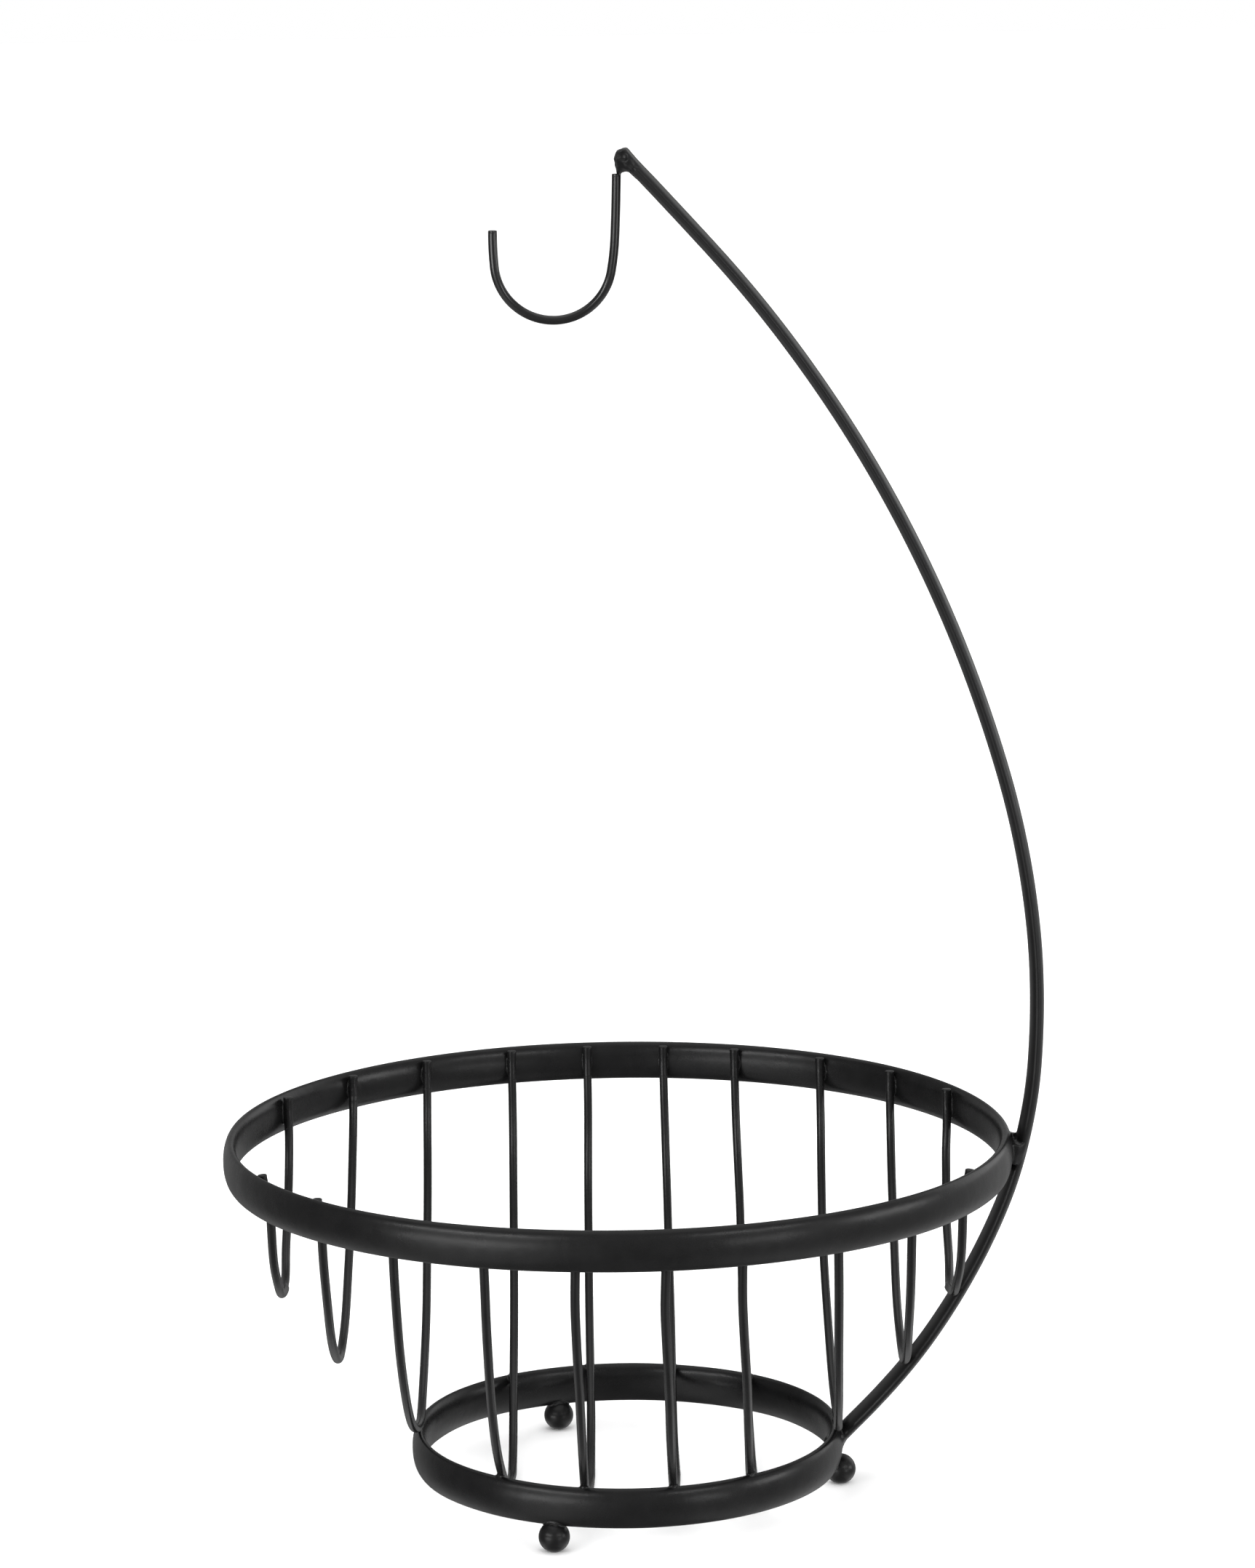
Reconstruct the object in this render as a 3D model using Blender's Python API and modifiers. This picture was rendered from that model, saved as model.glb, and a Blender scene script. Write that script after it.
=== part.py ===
"""Round wire fruit basket with a tall curved hanger arm and a hook.

Two oval-section bands, a wide rim and a small base, are joined by ten
U-bent round wires. Three ball feet stand under the base band. A flattened
tube rises from the base band, passes outside the rim and leans back over
the basket, where a J-shaped wire hangs from its tip.

The design is laid out in millimetres about the rim's axis, with height 0 at
the middle of the base band. One empty carries it into the part's frame,
whose origin is the middle of the footprint on the floor. Every joint of the
real basket is a weld; here each pair of neighbours keeps a gap of GAP.
"""
import math

import bmesh
import bpy
import numpy as np

MM = 0.001
GAP = 0.3

# Bands: a round tube flattened to an oval and rolled on edge.
BAND_TALL = 13.6
BAND_THICK = 5.0
BAND_SIDES = 12
BAND_STEPS = 72
RIM_OUTER_R = 133.5
RIM_Z = 103.6
BASE_OUTER_R = 73.7
BASE_X = 2.1

# U wires.
WIRE_D = 3.0
WIRE_POINTS = 27
WIRE_TOP_Z = 109.6
# Each row: x at the front end, at the bottom and at the back end. The wires
# were set by eye into the jig, so their spacing isn't even.
WIRE_ROWS = (
    (-116.0, -116.0, -116.0),
    (-94.5, -95.5, -95.5),
    (-70.0, -69.0, -70.3),
    (-40.7, -37.6, -40.3),
    (-11.3, -10.5, -13.0),
    (17.2, 18.1, 14.7),
    (41.2, 44.8, 40.6),
    (71.7, 74.2, 71.2),
    (96.0, 96.2, 95.5),
    (116.7, 111.8, 114.2),
)
# How full each wire's curve is: 2 is an ellipse, less is straighter sided.
FREE_WIRES = {1: (2.0, 55.0), 2: (1.65, 32.0)}       # fullness, bottom height
RIM_TO_BASE = {3: 1.70, 8: 1.75}                      # lie on the base band's top
RIM_TO_ARM = {9: 1.80, 10: 2.0}                       # lie on the arm's inner face
UNDER_BASE = {4: -11.0, 5: -12.0, 6: -12.0, 7: -11.0}  # dip inside the base band

# Hanger arm: a narrower flattened tube, bent in one plane in four pulls.
ARM_WIDE = 13.6
ARM_THICK = 4.7
ARM_SIDES = 12
ARM_START = (81.55, 9.0)
ARM_HEADING = 45.6
ARM_BENDS = ((90.3, 229.8), (50.3, 154.1), (98.8, 300.7), (245.8, 454.0))
ARM_RUN_IN = 12.0            # straight run past the start, coped to the base band

# Hook: round wire, from the top of its shank down and round to its open end.
HOOK_D = 3.0
HOOK_START = (3.64, 434.8)
HOOK_HEADING = -90.9
HOOK_BENDS = ((23.4, -665.0), (11.5, -87.6), (55.7, -19.4), (12.0, -108.0))

# Ball feet with a small flat, under the base band: name, angle round the
# band, distance from its axis. The right foot was set a little too far out.
FOOT_R = 5.2
FOOT_FLAT_R = 1.6
FLOOR_Z = -15.7
FEET = (("foot_front", -109.2, 71.2), ("foot_back", 111.0, 71.2), ("foot_right", 2.0, 73.0))

# The part's origin is the middle of its box, on the floor.
ORIGIN_X = 5.37

BAND_R = RIM_OUTER_R - BAND_THICK / 2
BASE_R = BASE_OUTER_R - BAND_THICK / 2
WIRE_R = WIRE_D / 2

for old in list(bpy.data.objects):
    bpy.data.objects.remove(old, do_unlink=True)

scene = bpy.context.scene
parts = bpy.data.collections.new("fruit_basket")
cutters = bpy.data.collections.new("fruit_basket_cutters")
scene.collection.children.link(parts)
scene.collection.children.link(cutters)

anchor = bpy.data.objects.new("basket_frame", None)
anchor.location = (-ORIGIN_X * MM, 0.0, -FLOOR_Z * MM)
parts.objects.link(anchor)


# ---------------------------------------------------------------- helpers

def coat(name, roughness):
    """Black powder coat on steel."""
    mat = bpy.data.materials.new(name)
    mat.use_nodes = True
    shader = mat.node_tree.nodes["Principled BSDF"]
    shader.inputs["Base Color"].default_value = (0.012, 0.012, 0.013, 1.0)
    shader.inputs["Roughness"].default_value = roughness
    shader.inputs["Metallic"].default_value = 0.0
    return mat


def add(name, data, roughness=0.45, collection=parts, location=(0.0, 0.0, 0.0)):
    obj = bpy.data.objects.new(name, data)
    collection.objects.link(obj)
    obj.parent = anchor
    obj.location = [v * MM for v in location]
    if collection is cutters:
        obj.hide_render = True
        obj.display_type = "WIRE"
    else:
        data.materials.append(coat(name + "_coat", roughness))
    return obj


def oval(thick, tall, sides=BAND_SIDES):
    """Outline of a flattened tube, clockwise from its top."""
    turn = [2 * math.pi * i / sides for i in range(sides)]
    return [(thick / 2 * math.sin(t), tall / 2 * math.cos(t)) for t in turn]


def turned(name, profile, closed, steps, **kind):
    """A profile in the XZ plane, spun once about Z."""
    mesh = bpy.data.meshes.new(name)
    n = len(profile)
    edges = [(i, i + 1) for i in range(n - 1)] + ([(n - 1, 0)] if closed else [])
    mesh.from_pydata([(x * MM, 0.0, z * MM) for x, z in profile], edges, [])
    obj = add(name, mesh, **kind)
    screw = obj.modifiers.new("turn", "SCREW")
    screw.axis = "Z"
    screw.steps = steps
    screw.render_steps = steps
    screw.use_smooth_shade = True
    screw.use_merge_vertices = not closed
    screw.merge_threshold = 1e-5
    return obj


def tube(name, points, radius):
    """Round wire along a run of points, square cut at both ends."""
    curve = bpy.data.curves.new(name, "CURVE")
    curve.dimensions = "3D"
    curve.bevel_depth = radius * MM
    curve.bevel_resolution = 2
    curve.use_fill_caps = True
    spline = curve.splines.new("POLY")
    spline.points.add(len(points) - 1)
    for point, p in zip(spline.points, points):
        point.co = (p[0] * MM, p[1] * MM, p[2] * MM, 1.0)
    return curve


def bent(start, heading, bends, step):
    """Points along a line bent in tangent arcs, and the heading at its end."""
    x, z = start
    a = math.radians(heading)
    out = [(x, z)]
    for length, radius in bends:
        n = max(1, round(length / (step * min(1.0, abs(radius) / 60.0))))
        for _ in range(n):
            half = length / n / radius / 2
            chord = 2 * radius * math.sin(half)
            x += chord * math.cos(a + half)
            z += chord * math.sin(a + half)
            a += 2 * half
            out.append((x, z))
    return out, a


def even(points, count):
    """The same run with its points evenly spaced along it."""
    points = np.asarray(points, float)
    along = np.concatenate([[0.0], np.cumsum(np.linalg.norm(np.diff(points, axis=0), axis=1))])
    s = np.linspace(0.0, along[-1], count)
    return np.stack([np.interp(s, along, points[:, k]) for k in range(points.shape[1])], 1)


def solve(f, low, high):
    """Where f crosses zero between low and high."""
    f_low = f(low)
    for _ in range(40):
        mid = (low + high) / 2
        f_mid = f(mid)
        if (f_mid > 0) == (f_low > 0):
            low, f_low = mid, f_mid
        else:
            high = mid
    return (low + high) / 2


# ------------------------------------------------------------------ bands

turned("rim_ring",
       [(BAND_R + x, z) for x, z in oval(BAND_THICK, BAND_TALL)],
       True, BAND_STEPS, location=(0.0, 0.0, RIM_Z))
turned("base_ring",
       [(BASE_R + x, z) for x, z in oval(BAND_THICK, BAND_TALL)],
       True, BAND_STEPS, location=(BASE_X, 0.0, 0.0))

# Cutters: the base band grown by the gap, as a ring for the feet and as a
# plug for the coped end of the arm.
grown = oval(BAND_THICK + 2 * GAP, BAND_TALL + 2 * GAP)
ring_cutter = turned("base_ring_cutter", [(BASE_R + x, z) for x, z in grown],
                     True, BAND_STEPS, collection=cutters, location=(BASE_X, 0.0, 0.0))
half = BAND_SIDES // 2
plug_cutter = turned("base_plug_cutter",
                     [(0.0, grown[0][1])]
                     + [(BASE_R + x, z) for x, z in grown[:half + 1]]
                     + [(0.0, grown[half][1])],
                     False, BAND_STEPS, collection=cutters, location=(BASE_X, 0.0, 0.0))


# -------------------------------------------------------------------- arm

arm_line, arm_end = bent(ARM_START, ARM_HEADING, ARM_BENDS, 10.5)
lead = math.radians(ARM_HEADING)
arm_line.insert(0, (ARM_START[0] - ARM_RUN_IN * math.cos(lead),
                    ARM_START[1] - ARM_RUN_IN * math.sin(lead)))

section = bpy.data.curves.new("arm_section", "CURVE")
section.dimensions = "2D"
outline = section.splines.new("POLY")
ring = [2 * math.pi * i / ARM_SIDES for i in range(ARM_SIDES)]
outline.points.add(ARM_SIDES - 1)
for point, t in zip(outline.points, ring):
    # a fuller oval than the bands: flatter faces and rounder edges
    c, s = math.cos(t), math.sin(t)
    point.co = (math.copysign(abs(c) ** 0.8, c) * ARM_THICK / 2 * MM,
                math.copysign(abs(s) ** 0.8, s) * ARM_WIDE / 2 * MM, 0.0, 1.0)
outline.use_cyclic_u = True
section_guide = bpy.data.objects.new("arm_section", section)
cutters.objects.link(section_guide)
section_guide.hide_render = True
section_guide.display_type = "WIRE"

path = bpy.data.curves.new("arm_path", "CURVE")
path.dimensions = "2D"
path.bevel_mode = "OBJECT"
path.bevel_object = section_guide
path.use_fill_caps = True
spline = path.splines.new("POLY")
spline.points.add(len(arm_line) - 1)
for point, (x, z) in zip(spline.points, arm_line):
    point.co = (x * MM, z * MM, 0.0, 1.0)
path_object = bpy.data.objects.new("arm_path", path)
cutters.objects.link(path_object)
path_object.parent = anchor
path_object.rotation_euler = (math.pi / 2, 0.0, 0.0)
bpy.context.view_layer.update()

arm_mesh = bpy.data.meshes.new_from_object(
    path_object.evaluated_get(bpy.context.evaluated_depsgraph_get()))
arm_mesh.name = "hanger_arm"
arm_mesh.materials.clear()
work = bmesh.new()
work.from_mesh(arm_mesh)
bmesh.ops.remove_doubles(work, verts=work.verts, dist=1e-6)
bmesh.ops.recalc_face_normals(work, faces=work.faces)
work.to_mesh(arm_mesh)
work.free()
bpy.data.objects.remove(path_object, do_unlink=True)

arm = add("hanger_arm", arm_mesh, roughness=0.42)
arm.rotation_euler = (math.pi / 2, 0.0, 0.0)
cope = arm.modifiers.new("cope", "BOOLEAN")
cope.operation = "DIFFERENCE"
cope.object = plug_cutter
arm_mesh.shade_smooth()
arm_mesh.set_sharp_from_angle(angle=math.radians(40))


# ------------------------------------------------------------------- hook

hook_line, _ = bent(HOOK_START, HOOK_HEADING, HOOK_BENDS, 7.0)
add("banana_hook", tube("banana_hook", [(x, 0.0, z) for x, z in hook_line], HOOK_D / 2),
    roughness=0.42)


# ------------------------------------------------------------------ wires

band_section = np.array(oval(BAND_THICK, BAND_TALL, 120))
arm_fine = np.array(bent(ARM_START, ARM_HEADING, ARM_BENDS, 1.0)[0])
WIRE_END_R = RIM_OUTER_R - BAND_THICK - GAP - WIRE_R - 0.1


def u_wire(row, bottom, fullness):
    """Points along one wire, front end to back end."""
    front, low, back = row
    t = np.linspace(0.0, math.pi, 241)
    c, s = np.cos(t), np.sin(t)
    end = np.where(c > 0, front, back)
    reach = np.sqrt(WIRE_END_R ** 2 - end ** 2)
    y = -np.sign(c) * reach * np.abs(c) ** (2 / fullness)
    z = WIRE_TOP_Z - (WIRE_TOP_Z - bottom) * np.abs(s) ** (2 / fullness)
    x = low + (end - low) * np.abs(c) ** (2 / fullness)
    return np.stack([x, y, z], 1)


def off_base(points):
    """Distance from a wire's centre line to the base band's surface."""
    r = np.hypot(points[:, 0] - BASE_X, points[:, 1]) - BASE_R
    d = np.hypot(r[:, None] - band_section[None, :, 0],
                 points[:, 2][:, None] - band_section[None, :, 1])
    return d.min()


def off_arm(x, z):
    """Distance from a point in the arm's plane to the arm's centre line,
    positive on the basket's side of the arm."""
    to = np.array([x, z]) - arm_fine
    i = int(np.argmin(np.hypot(to[:, 0], to[:, 1])))
    along = arm_fine[min(i + 1, len(arm_fine) - 1)] - arm_fine[max(i - 1, 0)]
    side = along[0] * to[i, 1] - along[1] * to[i, 0]
    return math.copysign(math.hypot(to[i, 0], to[i, 1]), side)


touch = WIRE_R + GAP
for number, row in enumerate(WIRE_ROWS, 1):
    if number in FREE_WIRES:
        fullness, bottom = FREE_WIRES[number]
    elif number in RIM_TO_BASE:
        fullness = RIM_TO_BASE[number]
        bottom = solve(lambda z: off_base(u_wire(row, z, fullness)) - touch, 7.5, 20.0)
    elif number in RIM_TO_ARM:
        fullness = RIM_TO_ARM[number]
        bottom = solve(lambda z: off_arm(row[1], z) - touch - ARM_THICK / 2 - 0.1,
                       24.0, 90.0)
    else:
        bottom = UNDER_BASE[number]
        fullness = solve(lambda p: off_base(u_wire(row, bottom, p)) - touch, 1.4, 2.6)
    name = "wire_%02d" % number
    points = even(u_wire(row, bottom, fullness), WIRE_POINTS)
    add(name, tube(name, points, WIRE_R), roughness=0.42)


# ------------------------------------------------------------------- feet

drop = math.sqrt(FOOT_R ** 2 - FOOT_FLAT_R ** 2)
low_angle = math.pi - math.asin(FOOT_FLAT_R / FOOT_R)
ball = [(FOOT_R * math.sin(low_angle * i / 9), FOOT_R * math.cos(low_angle * i / 9))
        for i in range(10)]
ball[0] = (0.0, FOOT_R)
ball.append((0.0, -drop))
for name, angle, out in FEET:
    a = math.radians(angle)
    foot = turned(name, ball, False, 20,
                  location=(BASE_X + out * math.cos(a), out * math.sin(a),
                            FLOOR_Z + drop))
    seat = foot.modifiers.new("seat", "BOOLEAN")
    seat.operation = "DIFFERENCE"
    seat.object = ring_cutter

bpy.context.view_layer.update()
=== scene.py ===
"""Looks of the round wire fruit basket with a curved hanger arm and a hook.

The basket is welded from flattened steel tube and round wire and then powder
coated black. Lengths here are millimetres about the rim's axis, with height 0
at the middle of the base band, as the solids were laid out; SHIFT carries
them into the part's frame.
"""
import math

import bpy
import numpy as np
from mathutils import Matrix, Vector


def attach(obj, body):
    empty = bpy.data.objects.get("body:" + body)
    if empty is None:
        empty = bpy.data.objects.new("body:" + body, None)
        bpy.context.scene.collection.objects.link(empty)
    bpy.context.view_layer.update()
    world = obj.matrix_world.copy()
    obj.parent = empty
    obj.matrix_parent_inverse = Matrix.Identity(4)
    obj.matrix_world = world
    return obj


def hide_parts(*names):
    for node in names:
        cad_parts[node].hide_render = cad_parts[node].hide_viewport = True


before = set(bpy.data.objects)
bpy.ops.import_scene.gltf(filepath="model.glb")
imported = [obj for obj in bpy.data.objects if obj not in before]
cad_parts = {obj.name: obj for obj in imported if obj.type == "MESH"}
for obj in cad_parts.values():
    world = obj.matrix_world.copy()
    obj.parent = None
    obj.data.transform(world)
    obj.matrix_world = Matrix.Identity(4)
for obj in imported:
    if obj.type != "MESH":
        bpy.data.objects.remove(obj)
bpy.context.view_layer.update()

MM = 0.001
SHIFT = np.array([-5.37, 0.0, 15.7])

# Sizes, as on the solids.
BAND_TALL = 13.6
BAND_THICK = 5.0
RIM_OUTER_R = 133.5
RIM_Z = 103.6
BASE_OUTER_R = 73.7
BASE_X = 2.1
WIRE_R = 1.5
WIRE_TOP_Z = 109.6
WIRE_ROWS = (
    (-116.0, -116.0, -116.0),
    (-94.5, -95.5, -95.5),
    (-70.0, -69.0, -70.3),
    (-40.7, -37.6, -40.3),
    (-11.3, -10.5, -13.0),
    (17.2, 18.1, 14.7),
    (41.2, 44.8, 40.6),
    (71.7, 74.2, 71.2),
    (96.0, 96.2, 95.5),
    (116.7, 111.8, 114.2),
)
FREE_WIRES = {1: (2.0, 55.5), 2: (1.65, 32.0)}
RIM_TO_BASE = {3: 1.70, 8: 1.75}
RIM_TO_ARM = {9: 1.80, 10: 2.0}
UNDER_BASE = {4: -11.0, 5: -12.0, 6: -12.0, 7: -11.0}
ARM_WIDE = 13.6
ARM_THICK = 4.7
ARM_START = (81.55, 9.0)
ARM_HEADING = 45.6
ARM_BENDS = ((90.3, 229.8), (50.3, 154.1), (98.8, 300.7), (245.8, 454.0))
ARM_RUN_IN = 12.0
HOOK_START = (3.64, 434.8)
HOOK_HEADING = -90.9
HOOK_BENDS = ((23.4, -665.0), (11.5, -87.6), (55.7, -19.4), (12.0, -108.0))
FOOT_R = 5.2
FOOT_FLAT_R = 1.6
FLOOR_Z = -15.7
# name, angle round the base band, distance from its axis
FEET = (("foot_front", -109.2, 71.2), ("foot_back", 111.0, 71.2), ("foot_right", 2.0, 73.0))

BAND_R = RIM_OUTER_R - BAND_THICK / 2
BASE_R = BASE_OUTER_R - BAND_THICK / 2
WIRE_END_R = RIM_OUTER_R - BAND_THICK - WIRE_R + 0.06

# What handling and welding did to the true shapes, a fraction of a millimetre
# each. Rings: angle and rise. Arm: height and shift to its outer side. Wires:
# height of the front and back ends, then height and shift in x of each leg.
RIM_RISE = ((-180, -0.15), (-150, -0.45), (-120, -0.2), (-90, 0.0), (-60, -0.2),
            (-35, -0.5), (0, -0.6), (20, -0.35), (45, 0.2), (75, 0.25), (100, 0.15),
            (140, 0.05), (180, -0.15))
BASE_RISE = ((-180, 0.15), (-120, 0.0), (-60, 0.0), (-10, 0.0), (30, 0.1), (70, -0.2),
             (110, 0.0), (150, 0.5), (180, 0.15))
ARM_SHIFT = ((0, 0.0), (15, 0.0), (30, 0.3), (50, 0.1), (85, -0.1), (108, -0.5),
             (130, -0.35), (170, 0.05), (250, -0.25), (340, -0.28), (375, -0.45), (388, -0.52),
             (400, -0.68), (410, -0.9), (418, -0.95), (428, -0.6), (436, -0.15), (440, 0.0))
WIRE_ENDS = {1: (108.8, 110.0), 2: (109.2, 110.0), 8: (108.4, 110.0), 9: (107.5, 110.0),
             10: (108.2, 110.0)}
ENDS = (108.5, 110.0)
LEAN = {1: (((50, 1.85), (58, 2.0), (66, 2.25), (75, 2.15), (97, 2.3), (103, 1.2), (109, -0.45)),
            ((50, 1.85), (56, 1.5), (61, 0.5), (67, 0.1), (80, 0.15), (97, 0.1), (108, 0.0))),
        2: (((30, 0.0), (60, 0.05), (75, 0.2), (97, 0.2), (103, -0.5), (109, -1.1)),
            ((30, 0.0), (45, -0.22), (60, -0.15), (75, 0.0), (90, 0.15), (109, 0.0))),
        3: (((0, 0.0), (20, 0.13), (46, 0.13), (62, 0.0), (86, -0.25), (104, 0.0)),
            ((0, 0.0), (13, 0.25), (32, 0.45), (56, 0.18), (71, -0.05), (87, -0.15), (104, 0.0))),
        4: (((-12, 0.1), (5, 0.2), (20, 0.0), (46, 0.0), (62, 0.18), (86, 0.3), (104, 0.0)),
            ((-12, 0.1), (32, 0.0), (56, 0.12), (87, 0.17), (104, 0.0))),
        5: (((-12, -0.1), (20, 0.0), (52, 0.0), (62, -0.25), (75, -0.5), (84, -0.65), (104, 0.0)),
            ((-12, -0.1), (32, -0.25), (56, -0.2), (71, 0.0), (87, 0.15), (104, 0.0))),
        6: (((-12, 0.4), (5, 0.4), (21, 0.45), (46, 0.25), (52, 0.07), (62, -0.27), (75, -0.7),
             (82, -0.9), (104, 0.0)),
            ((-12, 0.4), (0, 0.75), (18, 1.0), (32, 0.95), (56, 0.63), (71, 0.33), (87, 0.15), (104, 0.0))),
        7: (((-12, 0.3), (5, 0.2), (20, 0.45), (52, 0.45), (62, 0.25), (75, -0.1), (86, -0.35),
             (104, 0.0)),
            ((-12, 0.3), (0, 0.52), (13, 0.45), (32, 0.5), (56, 0.95), (71, 0.7), (87, 0.25), (104, 0.0))),
        8: (((0, 0.0), (86, -0.1), (104, 0.0)),
            ((0, 0.0), (13, -0.38), (32, -0.38), (56, -0.48), (71, -0.25), (87, 0.07), (104, 0.0))),
        10: (((50, 0.7), (54, 0.5), (58, -0.5), (63, -1.25), (75, -1.65), (97, -2.3), (103, -1.4),
              (108, 0.0)),
             ((50, 0.7), (54, 0.7), (58, 0.5), (63, 0.05), (70, -0.3), (88, -0.1), (97, 0.3), (108, 0.0)))}

# The band's outline is a little fuller than an ellipse: round tube squashed
# between flat rolls.
FULL = 2.12


# ---------------------------------------------------------------- geometry

def band_outline(thick, tall, count):
    """The band's whole outline, clockwise from its top edge."""
    t = np.linspace(0.0, 2 * math.pi, 240, endpoint=False)
    s, c = np.sin(t), np.cos(t)
    x = np.sign(s) * np.abs(s) ** (2 / FULL) * thick / 2
    z = np.sign(c) * np.abs(c) ** (2 / FULL) * tall / 2
    # the points crowd towards the sharply curved edges
    fine = np.stack([x, z], 1)
    fine = np.vstack([fine, fine[:1]])
    step = np.linalg.norm(np.diff(fine, axis=0), axis=1)
    weight = step * (1.0 + 1.6 * np.abs(fine[:-1, 1] / (tall / 2)) ** 6)
    along = np.concatenate([[0.0], np.cumsum(weight)])
    u = np.linspace(0.0, along[-1], count, endpoint=False)
    return np.stack([np.interp(u, along, fine[:, k]) for k in range(2)], 1)


def even(points, step):
    """The same run with its points about a step apart."""
    points = np.asarray(points, float)
    along = np.concatenate([[0.0], np.cumsum(np.linalg.norm(np.diff(points, axis=0), axis=1))])
    s = np.linspace(0.0, along[-1], max(2, int(round(along[-1] / step)) + 1))
    return np.stack([np.interp(s, along, points[:, k]) for k in range(points.shape[1])], 1)


def bent(start, heading, bends, step):
    """Points along a line bent in tangent arcs, and the heading at its end."""
    x, z = start
    a = math.radians(heading)
    out = [(x, z)]
    for length, radius in bends:
        n = max(1, round(length / (step * min(1.0, abs(radius) / 60.0))))
        for _ in range(n):
            half = length / n / radius / 2
            chord = 2 * radius * math.sin(half)
            x += chord * math.cos(a + half)
            z += chord * math.sin(a + half)
            a += 2 * half
            out.append((x, z))
    return out, a


def solve(f, low, high):
    """Where f crosses zero between low and high."""
    f_low = f(low)
    for _ in range(40):
        mid = (low + high) / 2
        f_mid = f(mid)
        if (f_mid > 0) == (f_low > 0):
            low, f_low = mid, f_mid
        else:
            high = mid
    return (low + high) / 2


def sweep(points, side, section, scale=None):
    """Rings of a section carried along a run of points. The section's first
    coordinate lies along side, the second square to side and to the run."""
    t = np.gradient(points, axis=0)
    t /= np.linalg.norm(t, axis=1)[:, None]
    n = side - (side * t).sum(1)[:, None] * t
    n /= np.linalg.norm(n, axis=1)[:, None]
    b = np.cross(t, n)
    s = np.broadcast_to(section, (len(points),) + section.shape[-2:])
    if scale is not None:
        s = s * scale[:, None, :]
    return points[:, None, :] + s[..., :1] * n[:, None, :] + s[..., 1:] * b[:, None, :]


def skin(rings, around=False):
    """Vertices and faces over rings; the ends are closed with fans unless the
    run closes on itself."""
    n, m = rings.shape[:2]
    verts = rings.reshape(-1, 3)
    i = np.arange(n if around else n - 1)[:, None]
    j = np.arange(m)[None, :]
    a = i * m + j
    b = i * m + (j + 1) % m
    c = ((i + 1) % n) * m + (j + 1) % m
    d = ((i + 1) % n) * m + j
    faces = np.stack([a, b, c, d], -1).reshape(-1, 4).tolist()
    if not around:
        first, last = rings[0].mean(0), rings[-1].mean(0)
        verts = np.vstack([verts, first, last])
        k = n * m
        faces += [(k, (q + 1) % m, q) for q in range(m)]
        top = (n - 1) * m
        faces += [(k + 1, top + q, top + (q + 1) % m) for q in range(m)]
    return verts, faces


def piece(name, verts, faces, coat, slot, *nodes):
    """A mesh object in the part's frame that rides with the basket."""
    mesh = bpy.data.meshes.new(name)
    mesh.from_pydata(((np.asarray(verts) + SHIFT) * MM).tolist(), [], faces)
    mesh.update()
    obj = bpy.data.objects.new(name, mesh)
    bpy.context.scene.collection.objects.link(obj)
    co = np.asarray(verts) - np.mean(verts, axis=0)
    a, b, c, d = co[np.array([(f[0], f[1], f[2], f[-1]) for f in faces])].transpose(1, 0, 2)
    if (a * np.cross(b, c)).sum() + (a * np.cross(c, d)).sum() < 0:
        mesh.flip_normals()
    mesh.polygons.foreach_set("use_smooth", [True] * len(mesh.polygons))
    mesh.materials.append(coat)
    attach(obj, "root")
    if nodes:
        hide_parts(*nodes)
    return obj


# ------------------------------------------------------------------ coats

def coat(name, base=0.0036, rough=0.28, spread=0.03, level=0.12, peel=0.12):
    """Black powder coat: a fine orange peel, a gloss that drifts a little from
    place to place, and a colour that is barely mottled."""
    mat = bpy.data.materials.new(name)
    mat.use_nodes = True
    tree = mat.node_tree
    shader = tree.nodes["Principled BSDF"]
    shader.inputs["Metallic"].default_value = 0.0
    shader.inputs["Specular IOR Level"].default_value = level
    place = tree.nodes.new("ShaderNodeTexCoord")

    def noise(scale, detail, rough_=0.5):
        node = tree.nodes.new("ShaderNodeTexNoise")
        node.inputs["Scale"].default_value = scale
        node.inputs["Detail"].default_value = detail
        node.inputs["Roughness"].default_value = rough_
        tree.links.new(place.outputs["Object"], node.inputs["Vector"])
        return node.outputs["Fac"]

    def ramp(source, low, high, lo_pos=0.35, hi_pos=0.65):
        node = tree.nodes.new("ShaderNodeValToRGB")
        node.color_ramp.elements[0].position = lo_pos
        node.color_ramp.elements[1].position = hi_pos
        node.color_ramp.elements[0].color = low
        node.color_ramp.elements[1].color = high
        tree.links.new(source, node.inputs["Fac"])
        return node.outputs["Color"]

    tint = ramp(noise(160.0, 4.0), (base * 0.84, base * 0.84, base * 0.86, 1.0),
                (base * 1.18, base * 1.17, base * 1.2, 1.0))
    tree.links.new(tint, shader.inputs["Base Color"])
    gloss = tree.nodes.new("ShaderNodeMapRange")
    gloss.inputs["From Min"].default_value = 0.3
    gloss.inputs["From Max"].default_value = 0.7
    gloss.inputs["To Min"].default_value = rough - spread
    gloss.inputs["To Max"].default_value = rough + spread
    tree.links.new(noise(90.0, 3.0), gloss.inputs["Value"])
    tree.links.new(gloss.outputs["Result"], shader.inputs["Roughness"])
    # orange peel: low swells about a millimetre across with finer grain on them
    fine = tree.nodes.new("ShaderNodeBump")
    fine.inputs["Strength"].default_value = peel
    fine.inputs["Distance"].default_value = 0.00012
    tree.links.new(noise(1100.0, 2.0, 0.6), fine.inputs["Height"])
    broad = tree.nodes.new("ShaderNodeBump")
    broad.inputs["Strength"].default_value = peel * 1.6
    broad.inputs["Distance"].default_value = 0.0004
    tree.links.new(noise(240.0, 1.5, 0.5), broad.inputs["Height"])
    tree.links.new(fine.outputs["Normal"], broad.inputs["Normal"])
    tree.links.new(broad.outputs["Normal"], shader.inputs["Normal"])
    return mat


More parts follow.
